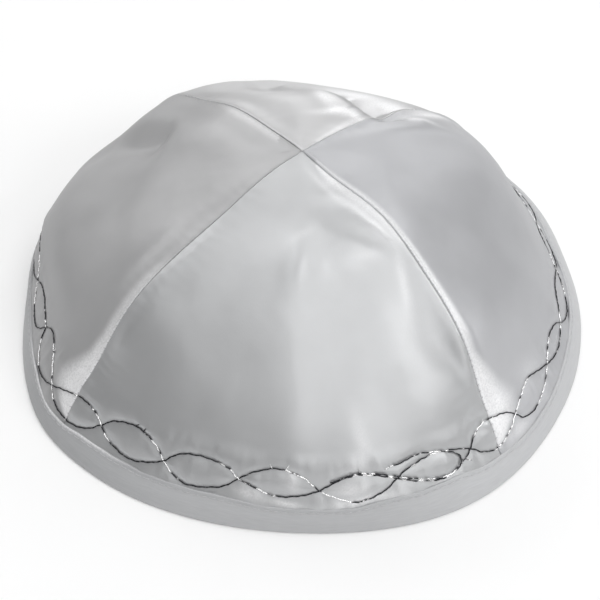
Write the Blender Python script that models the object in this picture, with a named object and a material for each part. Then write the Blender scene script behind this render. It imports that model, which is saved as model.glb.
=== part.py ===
"""A skullcap of four satin gores with a bound rim. Metres, +Z up, the front faces -Y.

The origin is the middle of the rim, on the surface that the cap rests on. A place on the cloth is
given by its azimuth, anticlockwise from +X seen from above, and by its angle down from the crown,
both seen from the origin. The reach is how far the cloth stands from the origin there.
"""

import math
from collections import namedtuple

import bpy
import numpy as np

# Driving dimensions
RIM_RADIUS = 0.0911
RIM_SQUARENESS = 0.0175
RIM_LENGTHENING = 0.0105
RIM_LONG_WAY = math.radians(70)
CROWN_HEIGHT = 0.0600
CROWN_SHIFT = -0.0014
CLOTH = 0.0012
TAPE = 0.0010
CLEARANCE = 0.0003
BINDING_WIDTH = 0.0074
FOLD_ROUNDING = 0.0007
SEAM_TURN = math.radians(-4)
SEAM_RIDGE = 0.0006
SEAM_RIDGE_WIDTH = 0.0035
CROWN_HOLE_RADIUS = 0.0008

# Mesh density
ACROSS_STEPS = 20
DOWN_STEPS = 22
BINDING_STEPS = 4 * ACROSS_STEPS
BINDING_RISES = (0.0, 0.5, 1.0)
SHARP_ANGLE = math.radians(40)
SLOPE_STEP = math.radians(0.5)

# How far the outside of the cloth stands from the origin, in mm, by angle down from the crown.
# The turn is counted from the front seam on the left, and each gore spans two rows.
Section = namedtuple("Section", "name turn_deg down15 down30 down45 down60 down75")
SECTIONS = (
    Section("front_left_seam", 0, 59.5, 60.0, 65.5, 73.0, 79.5),
    Section("front", 45, 61.0, 64.0, 68.0, 72.0, 80.5),
    Section("front_right_seam", 90, 61.5, 68.5, 72.5, 77.5, 80.5),
    Section("right", 135, 64.0, 69.0, 74.0, 75.5, 78.0),
    Section("back_right_seam", 180, 62.5, 67.0, 71.0, 75.0, 79.0),
    Section("back", 225, 62.0, 64.5, 66.0, 73.5, 80.5),
    Section("back_left_seam", 270, 61.0, 65.0, 69.5, 78.0, 80.5),
    Section("left", 315, 60.0, 61.5, 65.0, 72.0, 87.0),
)
FIRST_SEAM = SEAM_TURN - math.radians(135)
BOUND_DOWN = math.pi / 2 - BINDING_WIDTH / RIM_RADIUS
SMOOTH_ABOVE_BINDING = math.radians(7)
TABLE_DOWN = np.radians([0, 15, 30, 45, 60, 75, 90])

# Wide swells and hollows of the wall just above the rim, as places on the cloth with the reach of
# each to either side. A height above 0 stands out.
Bend = namedtuple("Bend", "name az half_az down half_down height_mm")
BENDS = (
    Bend("left_hollow", -171, 19, 79, 9, -6.0),
    Bend("back_left_hollow", 163, 9, 80, 10, -1.6),
    Bend("front_left_swell", -143, 9, 83, 7, 2.0),
    Bend("back_left_flare", 167, 10, 90, 8, 1.6),
    Bend("front_rim_flare", -64, 16, 90, 8, 0.8),
    Bend("front_right_tuck", -35, 14, 90, 9, -0.9),
    Bend("back_right_tuck", 15, 12, 86, 9, -1.6),
)

# Folds and dents run straight over the cloth between two places, given in degrees. A height above
# 0 is a ridge, and one below 0 is a valley.
Fold = namedtuple("Fold", "name az0 down0 az1 down1 half_width_mm height_mm")
FOLDS = (
    Fold("back_crest", 97, 46, 58, 22, 5.0, 1.3),
    Fold("back_crease", 74, 40, 37, 28, 4.0, -2.4),
    Fold("back_right_lap", 33, 46, 28, 34, 3.5, 0.8),
    Fold("left_dimple", 152, 66, 154, 48, 8.0, -2.2),
    Fold("left_swell", 190, 50, 185, 66, 12.0, 0.8),
)

# Soft dents and swells inside the gores. The turn is of the long way, clockwise from the meridian.
Dent = namedtuple("Dent", "name az down turn half_long_mm half_wide_mm height_mm")
DENTS = (
    Dent("front_ridge", -91, 56, 1, 24, 7.5, 1.0),
    Dent("front_ridge_side", -100, 55, 9, 14, 6, 0.3),
    Dent("front_left_hollow", -114, 59, 48, 14, 8, -0.2),
    Dent("front_left_swell", -135, 36, -12, 24, 6, 0.3),
    Dent("front_top_hollow", -87, 28, 70, 14, 8.5, -1.0),
    Dent("front_right_hollow", -61, 63, 0, 13, 13, -0.6),
    Dent("front_right_groove", -58, 57, 6, 16, 6, -0.5),
    Dent("front_low_groove", -71, 69, 140, 14, 8, -0.4),
    Dent("front_tongue", -62, 34, 52, 15, 5.5, -0.8),
    Dent("front_lip", -58, 20, 51, 14, 6.5, 0.6),
    Dent("front_edge", -54, 32, 8, 14, 5, 0.8),
    Dent("front_tip", -64, 9, 38, 14, 5, 0.2),
    Dent("front_right_dish", -58, 59, 0, 14, 14, -1.2),
    Dent("front_left_dimple", -130, 51, 0, 6, 6, -0.4),
    Dent("front_left_low", -126, 73, 0, 14, 14, 1.3),
    Dent("front_right_top", -51, 41, 0, 14, 14, -0.3),
    Dent("front_ridge_top", -90, 36, -9, 12, 5, 0.9),
    Dent("front_left_knob", -135, 65, 0, 6, 6, 0.5),
    Dent("front_left_ridge", -133, 58, -22, 18, 9, 0.7),
    Dent("front_top_groove", -89, 23, 18, 16, 6, -0.4),
    Dent("front_tongue_side", -76, 32, -28, 18, 9, -0.7),
    Dent("right_edge", -46, 46, -12, 24, 6.5, 0.4),
    Dent("right_top_swell", -32, 25, 119, 13, 5.5, 0.7),
    Dent("right_top", -10, 22, 76, 14, 6, 0.5),
    Dent("right_hollow", -25, 58, 0, 14, 14, -0.9),
    Dent("right_mid_hollow", -16, 41, 7, 24, 8, -0.6),
    Dent("right_low_hollow", -41, 80, 0, 12, 13, -1.0),
    Dent("right_dish", -13, 57, 0, 14, 14, -1.3),
    Dent("right_low_edge", -48, 75, 27, 18, 9, 0.7),
    Dent("right_back_ridge", 20, 32, 0, 16, 6, 1.7),
    Dent("right_edge_swell", -48, 59, 0, 14, 12, 0.7),
    Dent("right_upper_dish", -32, 53, 0, 14, 14, -1.3),
    Dent("right_low_ridge", -41, 75, 25, 24, 7, 0.7),
    Dent("right_low_swell", -42, 76, 101, 18, 9, 0.4),
    Dent("right_mid_ridge", -15, 70, 13, 24, 7, 0.7),
    Dent("back_hump", 108, 33, 41, 15, 7.5, 0.6),
    Dent("back_left", 60, 34, 56, 14.5, 4.5, 0.6),
    Dent("back_right_groove", 44, 40, -18, 24, 7, -0.9),
    Dent("back_beak_side", 81, 31, 42, 12, 5, 0.4),
    Dent("back_right_hollow", 48, 34, 68, 18, 9, -2.1),
    Dent("back_beak", 59, 26, 49, 12, 8, 0.7),
    Dent("back_top", 83, 23, 86, 18, 9, 0.4),
    Dent("back_left_swell", 117, 46, 80, 12, 8, 0.9),
    Dent("back_right_knob", 49, 21, 0, 6, 6, 0.7),
    Dent("back_left_dimple", 116, 49, 0, 6, 6, -0.9),
    Dent("back_left_groove", 106, 48, 6, 12, 5, -1.2),
    Dent("left_low", 203, 67, 0, 12, 13, -1.0),
    Dent("left_seam", 214, 50, 5, 24, 5.5, 0.8),
    Dent("left_top", 205, 30, -2, 20, 7, 0.3),
    Dent("left_middle_swell", 184, 58, 90, 12, 8, 1.2),
    Dent("left_seam_groove", 213, 35, 40, 12, 7, -0.4),
    Dent("left_dimple_side", 157, 55, 3, 12, 7, -1.1),
    Dent("left_top_hollow", 173, 32, -17, 18, 9, -0.7),
)
DENT_FADE = 0.003

Gore = namedtuple("Gore", "name number colour")
GORES = (
    Gore("panel_front", 0, (0.62, 0.63, 0.63)),
    Gore("panel_right", 1, (0.60, 0.61, 0.63)),
    Gore("panel_back", 2, (0.63, 0.64, 0.65)),
    Gore("panel_left", 3, (0.58, 0.58, 0.59)),
)
SATIN_ROUGHNESS = 0.32
SATIN_SHEEN = 0.2
BINDING_COLOUR = (0.64, 0.65, 0.67)
TAPE_ROUGHNESS = 0.75
TAPE_SHEEN = 0.1


def rim_radius(azimuth):
    """The outside of the binding at the bottom: a circle with soft corners at the seams."""
    corners = RIM_SQUARENESS * np.cos(4 * (azimuth - FIRST_SEAM))
    lengthening = RIM_LENGTHENING * np.cos(2 * (azimuth - RIM_LONG_WAY))
    return RIM_RADIUS * (1 + corners + lengthening)


def spline_through(rows, knots, at):
    """A natural cubic spline down each column of rows, read at the angles given."""
    count = len(knots)
    step = knots[1] - knots[0]
    system = np.eye(count)
    for i in range(1, count - 1):
        system[i, i - 1 : i + 2] = (1, 4, 1)
    bend = np.zeros_like(rows)
    bend[1:-1] = 6 * (rows[2:] - 2 * rows[1:-1] + rows[:-2]) / step**2
    curve = np.linalg.solve(system, bend)
    i = np.clip(((at - knots[0]) / step).astype(int), 0, count - 2)
    t = (at - knots[i]) / step
    column = np.arange(rows.shape[1])
    low, high = rows[i, column], rows[i + 1, column]
    low_bend, high_bend = curve[i, column], curve[i + 1, column]
    sag = (t**3 - t) * high_bend + ((1 - t) ** 3 - (1 - t)) * low_bend
    return (1 - t) * low + t * high + sag * step**2 / 6


def round_the_cap(azimuth):
    """The table's reaches at each azimuth, from waves that pass through all eight sections."""
    table = np.array([row[2:] for row in SECTIONS]) / 1000
    waves = np.fft.rfft(table, axis=0) / len(SECTIONS)
    turn = azimuth - FIRST_SEAM
    rows = np.zeros((table.shape[1], len(turn)))
    for k, wave in enumerate(waves):
        share = 1 if k in (0, len(SECTIONS) // 2) else 2
        rows += share * (np.outer(wave.real, np.cos(k * turn)) - np.outer(wave.imag, np.sin(k * turn)))
    return rows


def direction(azimuth, down):
    """The unit vector from the origin towards a place."""
    flat = np.sin(down)
    return np.stack([flat * np.cos(azimuth), flat * np.sin(azimuth), np.cos(down)], axis=-1)


def eased(t):
    """0 below 0, 1 above 1, and smooth between."""
    t = np.clip(t, 0, 1)
    return t * t * (3 - 2 * t)


def bend_height(azimuth, down):
    """What the swells and hollows of the wall add to the reach."""
    total = np.zeros_like(down)
    for bend in BENDS:
        turn = np.mod(azimuth - math.radians(bend.az) + math.pi, 2 * math.pi) - math.pi
        around = turn / math.radians(bend.half_az)
        along = (down - math.radians(bend.down)) / math.radians(bend.half_down)
        total += bend.height_mm / 1000 * np.exp(-(around**2) - along**2)
    return total


def fold_height(azimuth, down, reach):
    """What the folds add to the reach."""
    towards = direction(azimuth, down)
    total = np.zeros_like(reach)
    for fold in FOLDS:
        start = direction(math.radians(fold.az0), math.radians(fold.down0))
        end = direction(math.radians(fold.az1), math.radians(fold.down1))
        side = np.cross(start, end)
        side /= np.linalg.norm(side)
        onward = np.cross(side, start)
        length = math.acos(np.clip(start @ end, -1, 1))
        across = np.arcsin(np.clip(towards @ side, -1, 1)) * reach
        along = np.arctan2(towards @ onward, towards @ start)
        half_width = fold.half_width_mm / 1000
        fade = half_width / reach
        ends = eased((along + fade) / fade) * eased((length + fade - along) / fade)
        total += fold.height_mm / 1000 * ends * np.exp(-((across / half_width) ** 2))
    return total


def from_seam(azimuth, down, reach):
    """How far a place lies from the nearest seam, along the cloth."""
    turn = np.mod(azimuth - FIRST_SEAM + math.pi / 4, math.pi / 2) - math.pi / 4
    return np.abs(turn) * reach * np.sin(down)


def gore_number(azimuth):
    """Which gore a place lies on: 0 front, 1 right, 2 back, 3 left."""
    return np.floor(np.mod(azimuth - FIRST_SEAM, 2 * math.pi) / (math.pi / 2))


def dent_height(azimuth, down, reach):
    """What the dents and swells add to the reach. Each keeps to its own gore."""
    total = np.zeros_like(reach)
    gore = gore_number(azimuth)
    for dent in DENTS:
        centre_azimuth, centre_down = math.radians(dent.az), math.radians(dent.down)
        around = np.mod(azimuth - centre_azimuth + math.pi, 2 * math.pi) - math.pi
        east = around * reach * np.sin((down + centre_down) / 2)
        south = (down - centre_down) * reach
        cosine, sine = math.cos(math.radians(dent.turn)), math.sin(math.radians(dent.turn))
        along = (east * sine + south * cosine) / (dent.half_long_mm / 1000)
        across = (east * cosine - south * sine) / (dent.half_wide_mm / 1000)
        height = dent.height_mm / 1000 * np.exp(-(along**2) - across**2)
        total += np.where(gore == gore_number(centre_azimuth), height, 0)
    return total * (1 - np.exp(-((from_seam(azimuth, down, reach) / DENT_FADE) ** 2)))


def seam_ridge(azimuth, down, reach):
    """The low ridge of the seam allowances under the cloth, along each seam."""
    return SEAM_RIDGE * np.exp(-((from_seam(azimuth, down, reach) / SEAM_RIDGE_WIDTH) ** 2))


def cloth_reach(azimuth, down):
    """How far the outside of the cloth stands from the origin."""
    azimuth, down = np.broadcast_arrays(azimuth, down)
    flat_azimuth, flat_down = azimuth.ravel(), down.ravel()
    table = round_the_cap(flat_azimuth)
    crown = np.full((1, len(flat_azimuth)), CROWN_HEIGHT)
    rim = rim_radius(flat_azimuth)[None, :] - TAPE - CLEARANCE
    rows = np.concatenate([crown, table, rim])
    reach = spline_through(rows, TABLE_DOWN, flat_down).reshape(azimuth.shape)
    reach = reach + bend_height(azimuth, down)
    relief = seam_ridge(azimuth, down, reach) + fold_height(azimuth, down, reach)
    relief = relief + dent_height(azimuth, down, reach)
    return reach + relief * eased((BOUND_DOWN - down) / SMOOTH_ABOVE_BINDING)


def slant(azimuth, down):
    """How much longer a step towards the origin is than the same step square to the cloth."""
    reach = cloth_reach(azimuth, down)
    lower = np.minimum(down + SLOPE_STEP, math.pi / 2)
    upper = np.maximum(down - SLOPE_STEP, 0)
    fall = (cloth_reach(azimuth, lower) - cloth_reach(azimuth, upper)) / (lower - upper)
    sideways = cloth_reach(azimuth + SLOPE_STEP, down) - cloth_reach(azimuth - SLOPE_STEP, down)
    sideways /= 2 * SLOPE_STEP * np.maximum(np.sin(down), SLOPE_STEP)
    return np.sqrt(1 + (fall / reach) ** 2 + (sideways / reach) ** 2)


def layer(azimuth, down, outward):
    """Points that lie outward of the outside of the cloth, measured square to it."""
    reach = cloth_reach(azimuth, down) + outward * slant(azimuth, down)
    points = reach[..., None] * direction(azimuth, down)
    points[..., 0] += CROWN_SHIFT * np.cos(down)
    return points


def add_object(name, points, faces, material):
    mesh = bpy.data.meshes.new(name)
    mesh.from_pydata(points.tolist(), [], faces)
    mesh.validate()
    mesh.materials.append(material)
    mesh.shade_smooth()
    mesh.set_sharp_from_angle(angle=SHARP_ANGLE)
    piece = bpy.data.objects.new(name, mesh)
    bpy.context.scene.collection.objects.link(piece)
    return piece


def add_material(name, colour, roughness, sheen):
    material = bpy.data.materials.new(name)
    material.use_nodes = True
    shader = material.node_tree.nodes["Principled BSDF"]
    shader.inputs["Base Color"].default_value = (*colour, 1)
    shader.inputs["Roughness"].default_value = roughness
    shader.inputs["Metallic"].default_value = 0.0
    shader.inputs["Sheen Weight"].default_value = sheen
    return material


def add_gore(gore):
    """One gore: a curved triangle of cloth from beside the crown's middle to inside the binding."""
    tip_down = CROWN_HOLE_RADIUS / CROWN_HEIGHT
    end_down = math.pi / 2 - (TAPE + CLEARANCE) / RIM_RADIUS
    down = np.linspace(tip_down, end_down, DOWN_STEPS + 1)[:, None]
    middle = FIRST_SEAM + math.radians(45 + 90 * gore.number)
    radius = cloth_reach(np.full_like(down, middle), down) * np.sin(down)
    half_turn = math.pi / 4 - CLEARANCE / 2 / radius
    azimuth = middle + np.linspace(-1, 1, ACROSS_STEPS + 1)[None, :] * half_turn
    down = np.broadcast_to(down, azimuth.shape)
    outside = layer(azimuth, down, 0.0)
    inside = layer(azimuth, down, -CLOTH)
    points = np.concatenate([outside.reshape(-1, 3), inside.reshape(-1, 3)])
    across = ACROSS_STEPS + 1
    count = across * (DOWN_STEPS + 1)
    faces = []
    for j in range(DOWN_STEPS):
        for i in range(ACROSS_STEPS):
            a = j * across + i
            b, c, d = a + across, a + across + 1, a + 1
            faces.append((a, b, c, d))
            faces.append((a + count, d + count, c + count, b + count))
    edge = [(j * across, (j + 1) * across) for j in range(DOWN_STEPS)]
    edge += [(DOWN_STEPS * across + i, DOWN_STEPS * across + i + 1) for i in range(ACROSS_STEPS)]
    edge += [((j + 1) * across + ACROSS_STEPS, j * across + ACROSS_STEPS) for j in range(DOWN_STEPS)]
    edge += [(i + 1, i) for i in range(ACROSS_STEPS)]
    for a, b in edge:
        faces.append((b, a, a + count, b + count))
    material = add_material(gore.name + "_satin", gore.colour, SATIN_ROUGHNESS, SATIN_SHEEN)
    return add_object(gore.name, points, faces, material)


def binding_section(azimuth):
    """The folded tape's outline at one azimuth, as (angle down, distance outward) pairs."""
    reach = rim_radius(azimuth)
    top = BINDING_WIDTH / reach
    out_near, out_far = CLEARANCE, CLEARANCE + TAPE
    in_near, in_far = -CLOTH - CLEARANCE, -CLOTH - CLEARANCE - TAPE
    round_down = FOLD_ROUNDING / reach
    floor_down = TAPE / reach
    outline = [(top + (round_down - top) * rise, out_far) for rise in BINDING_RISES]
    outline += [(0.0, out_far - FOLD_ROUNDING), (0.0, in_far + FOLD_ROUNDING)]
    outline += [(top + (round_down - top) * rise, in_far) for rise in reversed(BINDING_RISES)]
    outline += [(top + (floor_down - top) * rise, in_near) for rise in BINDING_RISES]
    outline += [(top + (floor_down - top) * rise, out_near) for rise in reversed(BINDING_RISES)]
    return [(math.pi / 2 - up, outward) for up, outward in outline]


def add_binding():
    """The tape folded round the gores' lower edges: a ring whose section is a narrow U."""
    azimuths = FIRST_SEAM + np.linspace(0, 2 * math.pi, BINDING_STEPS, endpoint=False)
    sections = np.array([binding_section(azimuth) for azimuth in azimuths])
    grid_azimuth = np.broadcast_to(azimuths[:, None], sections.shape[:2])
    points = layer(grid_azimuth, sections[..., 0], sections[..., 1])
    steps, corners = sections.shape[:2]
    faces = []
    for i in range(steps):
        for j in range(corners):
            a, b = i * corners + j, i * corners + (j + 1) % corners
            c, d = (i + 1) % steps * corners + (j + 1) % corners, (i + 1) % steps * corners + j
            faces.append((a, b, c, d))
    material = add_material("binding_tape", BINDING_COLOUR, TAPE_ROUGHNESS, TAPE_SHEEN)
    return add_object("rim_binding", points.reshape(-1, 3), faces, material)


def main():
    for thing in list(bpy.data.objects):
        bpy.data.objects.remove(thing, do_unlink=True)
    for gore in GORES:
        add_gore(gore)
    add_binding()


main()
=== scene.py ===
"""The looks of a white satin skullcap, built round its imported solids. Metres, +Z up, front at -Y.

A place on the cloth is given as in the solids: by its azimuth, anticlockwise from +X seen from
above, and by its angle down from the crown, both seen from the middle of the rim. The reach is how
far the cloth stands from there.
"""

import math
from collections import namedtuple

import bpy
import numpy as np
from mathutils import Matrix, Vector, kdtree, noise


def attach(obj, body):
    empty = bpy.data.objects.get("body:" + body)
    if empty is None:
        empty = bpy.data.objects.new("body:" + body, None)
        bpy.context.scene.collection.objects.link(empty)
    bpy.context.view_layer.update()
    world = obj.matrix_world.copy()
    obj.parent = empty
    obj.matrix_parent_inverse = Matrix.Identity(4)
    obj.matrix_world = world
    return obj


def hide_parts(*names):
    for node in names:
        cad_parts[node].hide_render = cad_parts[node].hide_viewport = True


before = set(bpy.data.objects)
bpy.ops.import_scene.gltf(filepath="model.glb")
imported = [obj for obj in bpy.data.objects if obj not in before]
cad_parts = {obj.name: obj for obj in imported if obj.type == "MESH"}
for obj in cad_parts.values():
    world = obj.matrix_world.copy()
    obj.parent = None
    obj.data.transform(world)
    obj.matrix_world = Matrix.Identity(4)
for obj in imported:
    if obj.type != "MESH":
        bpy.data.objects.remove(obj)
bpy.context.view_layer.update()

# Driving dimensions, the same as the solids'
RIM_RADIUS = 0.0911
RIM_SQUARENESS = 0.0175
RIM_LENGTHENING = 0.0105
RIM_LONG_WAY = math.radians(70)
CROWN_HEIGHT = 0.0600
CROWN_SHIFT = -0.0014
CLOTH = 0.0012
TAPE = 0.0010
CLEARANCE = 0.0003
BINDING_WIDTH = 0.0074
SEAM_TURN = math.radians(-4)
SEAM_RIDGE = 0.0006
SEAM_RIDGE_WIDTH = 0.0035
SLOPE_STEP = math.radians(0.5)

# How far the outside of the cloth stands from the origin, in mm, by angle down from the crown.
# The turn is counted from the front seam on the left, and each gore spans two rows.
Section = namedtuple("Section", "name turn_deg down15 down30 down45 down60 down75")
SECTIONS = (
    Section("front_left_seam", 0, 59.5, 60.0, 65.5, 73.0, 79.5),
    Section("front", 45, 61.0, 64.0, 68.0, 72.0, 80.5),
    Section("front_right_seam", 90, 61.5, 68.5, 72.5, 77.5, 80.5),
    Section("right", 135, 64.0, 69.0, 74.0, 75.5, 78.0),
    Section("back_right_seam", 180, 62.5, 67.0, 71.0, 75.0, 79.0),
    Section("back", 225, 62.0, 64.5, 66.0, 73.5, 80.5),
    Section("back_left_seam", 270, 61.0, 65.0, 69.5, 78.0, 80.5),
    Section("left", 315, 60.0, 61.5, 65.0, 72.0, 87.0),
)
FIRST_SEAM = SEAM_TURN - math.radians(135)
BOUND_DOWN = math.pi / 2 - BINDING_WIDTH / RIM_RADIUS
SMOOTH_ABOVE_BINDING = math.radians(7)
TABLE_DOWN = np.radians([0, 15, 30, 45, 60, 75, 90])

# Wide swells and hollows of the wall just above the rim
Bend = namedtuple("Bend", "name az half_az down half_down height_mm")
BENDS = (
    Bend("left_hollow", -171, 19, 79, 9, -6.0),
    Bend("back_left_hollow", 163, 9, 80, 10, -1.6),
    Bend("front_left_swell", -143, 9, 83, 7, 2.0),
    Bend("back_left_flare", 167, 10, 90, 8, 1.6),
    Bend("front_rim_flare", -64, 16, 90, 8, 0.8),
    Bend("front_right_tuck", -35, 14, 90, 9, -0.9),
    Bend("back_right_tuck", 15, 12, 86, 9, -1.6),
)

# Folds and dents run straight over the cloth between two places, given in degrees
Fold = namedtuple("Fold", "name az0 down0 az1 down1 half_width_mm height_mm")
FOLDS = (
    Fold("back_crest", 97, 46, 58, 22, 5.0, 1.3),
    Fold("back_crease", 74, 40, 37, 28, 4.0, -2.4),
    Fold("back_right_lap", 33, 46, 28, 34, 3.5, 0.8),
    Fold("left_dimple", 152, 66, 154, 48, 8.0, -2.2),
    Fold("left_swell", 190, 50, 185, 66, 12.0, 0.8),
)

# Soft dents and swells inside the gores. The turn is of the long way, clockwise from the meridian.
Dent = namedtuple("Dent", "name az down turn half_long_mm half_wide_mm height_mm")
DENTS = (
    Dent("front_ridge", -91, 56, 1, 24, 7.5, 1.0),
    Dent("front_ridge_side", -100, 55, 9, 14, 6, 0.3),
    Dent("front_left_hollow", -114, 59, 48, 14, 8, -0.2),
    Dent("front_left_swell", -135, 36, -12, 24, 6, 0.3),
    Dent("front_top_hollow", -87, 28, 70, 14, 8.5, -1.0),
    Dent("front_right_hollow", -61, 63, 0, 13, 13, -0.6),
    Dent("front_right_groove", -58, 57, 6, 16, 6, -0.5),
    Dent("front_low_groove", -71, 69, 140, 14, 8, -0.4),
    Dent("front_tongue", -62, 34, 52, 15, 5.5, -0.8),
    Dent("front_lip", -58, 20, 51, 14, 6.5, 0.6),
    Dent("front_edge", -54, 32, 8, 14, 5, 0.8),
    Dent("front_tip", -64, 9, 38, 14, 5, 0.2),
    Dent("front_right_dish", -58, 59, 0, 14, 14, -1.2),
    Dent("front_left_dimple", -130, 51, 0, 6, 6, -0.4),
    Dent("front_left_low", -126, 73, 0, 14, 14, 1.3),
    Dent("front_right_top", -51, 41, 0, 14, 14, -0.3),
    Dent("front_ridge_top", -90, 36, -9, 12, 5, 0.9),
    Dent("front_left_knob", -135, 65, 0, 6, 6, 0.5),
    Dent("front_left_ridge", -133, 58, -22, 18, 9, 0.7),
    Dent("front_top_groove", -89, 23, 18, 16, 6, -0.4),
    Dent("front_tongue_side", -76, 32, -28, 18, 9, -0.7),
    Dent("right_edge", -46, 46, -12, 24, 6.5, 0.4),
    Dent("right_top_swell", -32, 25, 119, 13, 5.5, 0.7),
    Dent("right_top", -10, 22, 76, 14, 6, 0.5),
    Dent("right_hollow", -25, 58, 0, 14, 14, -0.9),
    Dent("right_mid_hollow", -16, 41, 7, 24, 8, -0.6),
    Dent("right_low_hollow", -41, 80, 0, 12, 13, -1.0),
    Dent("right_dish", -13, 57, 0, 14, 14, -1.3),
    Dent("right_low_edge", -48, 75, 27, 18, 9, 0.7),
    Dent("right_back_ridge", 20, 32, 0, 16, 6, 1.7),
    Dent("right_edge_swell", -48, 59, 0, 14, 12, 0.7),
    Dent("right_upper_dish", -32, 53, 0, 14, 14, -1.3),
    Dent("right_low_ridge", -41, 75, 25, 24, 7, 0.7),
    Dent("right_low_swell", -42, 76, 101, 18, 9, 0.4),
    Dent("right_mid_ridge", -15, 70, 13, 24, 7, 0.7),
    Dent("back_hump", 108, 33, 41, 15, 7.5, 0.6),
    Dent("back_left", 60, 34, 56, 14.5, 4.5, 0.6),
    Dent("back_right_groove", 44, 40, -18, 24, 7, -0.9),
    Dent("back_beak_side", 81, 31, 42, 12, 5, 0.4),
    Dent("back_right_hollow", 48, 34, 68, 18, 9, -2.1),
    Dent("back_beak", 59, 26, 49, 12, 8, 0.7),
    Dent("back_top", 83, 23, 86, 18, 9, 0.4),
    Dent("back_left_swell", 117, 46, 80, 12, 8, 0.9),
    Dent("back_right_knob", 49, 21, 0, 6, 6, 0.7),
    Dent("back_left_dimple", 116, 49, 0, 6, 6, -0.9),
    Dent("back_left_groove", 106, 48, 6, 12, 5, -1.2),
    Dent("left_low", 203, 67, 0, 12, 13, -1.0),
    Dent("left_seam", 214, 50, 5, 24, 5.5, 0.8),
    Dent("left_top", 205, 30, -2, 20, 7, 0.3),
    Dent("left_middle_swell", 184, 58, 90, 12, 8, 1.2),
    Dent("left_seam_groove", 213, 35, 40, 12, 7, -0.4),
    Dent("left_dimple_side", 157, 55, 3, 12, 7, -1.1),
    Dent("left_top_hollow", 173, 32, -17, 18, 9, -0.7),
)
DENT_FADE = 0.003

# What is cut for each gore, and the looks of its satin. The four colours are one satin, set lighter or darker per
# gore as painted light and shade.
Gore = namedtuple("Gore", "name node number colour metallic roughness flat_width flat_length flat_area")
GORES = (
    Gore("gore_front", "panel_front", 0, (0.53, 0.536, 0.544), 0.75, 0.36, 0.150, 0.110, 0.0094),
    Gore("gore_right", "panel_right", 1, (0.48, 0.484, 0.50), 0.35, 0.36, 0.150, 0.110, 0.0097),
    Gore("gore_back", "panel_back", 2, (0.56, 0.56, 0.565), 0.75, 0.36, 0.150, 0.110, 0.0095),
    Gore("gore_left", "panel_left", 3, (0.42, 0.42, 0.425), 0.35, 0.36, 0.150, 0.110, 0.0093),
)
TIP_RADIUS = 0.0002
SEAM_HALF_GAP = 0.00003
EDGE_ROLL = 0.00055
EDGE_ROLL_DROP = 0.00050
SEAM_PUCKER = 0.00005
SEAM_PUCKER_PITCH = 0.0042
SEAM_PUCKER_REACH = 0.0045
ALLOWANCE_WIDTH = 0.0070
ALLOWANCE_CLOTH = 0.0004
RIPPLES = ((0.020, 0.00016), (0.0085, 0.00007), (0.0036, 0.000022))

# The two embroidered waves cross again and again. Each row is a crossing and, on the way to the
# next, three places of the upper thread and three of the lower one: azimuth and mm above the rim.
Eye = namedtuple("Eye", "az mm up1 up1_mm up2 up2_mm up3 up3_mm low1 low1_mm low2 low2_mm low3 low3_mm")
EYES = (
    Eye(-159.8, 14.7, -158.0, 17.0, -155.5, 18.1, -151.5, 15.9, -158.5, 11.2, -154.2, 7.6, -149.8, 8.5),
    Eye(-146.1, 11.1, -142.5, 13.7, -138.0, 15.7, -133.7, 14.5, -143.3, 8.6, -138.5, 7.4, -134.3, 8.9),
    Eye(-131.4, 12.3, -128.7, 15.8, -123.7, 17.8, -119.0, 15.5, -128.8, 9.7, -123.3, 8.2, -118.6, 10.2),
    Eye(-116.3, 12.0, -113.3, 15.6, -108.8, 17.0, -103.7, 16.1, -113.6, 9.3, -110.2, 8.1, -104.3, 10.1),
    Eye(-101.1, 13.5, -98.2, 16.3, -93.7, 18.3, -89.0, 16.4, -98.0, 12.0, -94.0, 10.2, -89.3, 10.9),
    Eye(-85.9, 12.5, -82.3, 15.2, -78.7, 16.4, -74.5, 15.3, -82.8, 10.2, -78.9, 8.5, -74.2, 10.5),
    Eye(-71.2, 13.5, -69.0, 15.5, -64.0, 17.3, -59.5, 16.2, -67.5, 11.4, -62.3, 9.5, -57.8, 11.3),
    Eye(-55.2, 13.6, -53.2, 16.7, -49.7, 18.6, -44.8, 16.3, -52.8, 10.8, -49.2, 8.9, -44.5, 10.5),
    Eye(-41.9, 12.9, -38.5, 15.5, -34.3, 17.3, -29.7, 15.0, -40.0, 9.8, -35.8, 8.2, -30.3, 10.1),
    Eye(-26.4, 13.2, -23.3, 15.9, -19.8, 17.3, -16.0, 15.9, -23.5, 11.7, -19.3, 10.9, -16.0, 11.8),
    Eye(-13.8, 13.2, -11.0, 15.3, -6.0, 17.3, -1.0, 15.7, -11.0, 10.2, -6.5, 8.3, -1.0, 10.2),
    Eye(3.0, 12.8, 6.5, 15.9, 11.0, 17.3, 15.5, 15.9, 6.5, 9.7, 11.0, 8.4, 15.5, 9.7),
)
EYE_COUNT = 24
REST_OF_RIM_START = 19.0
REST_MIDDLE = 12.8
REST_SHOULDER = 3.1
REST_CREST = 4.5

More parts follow.
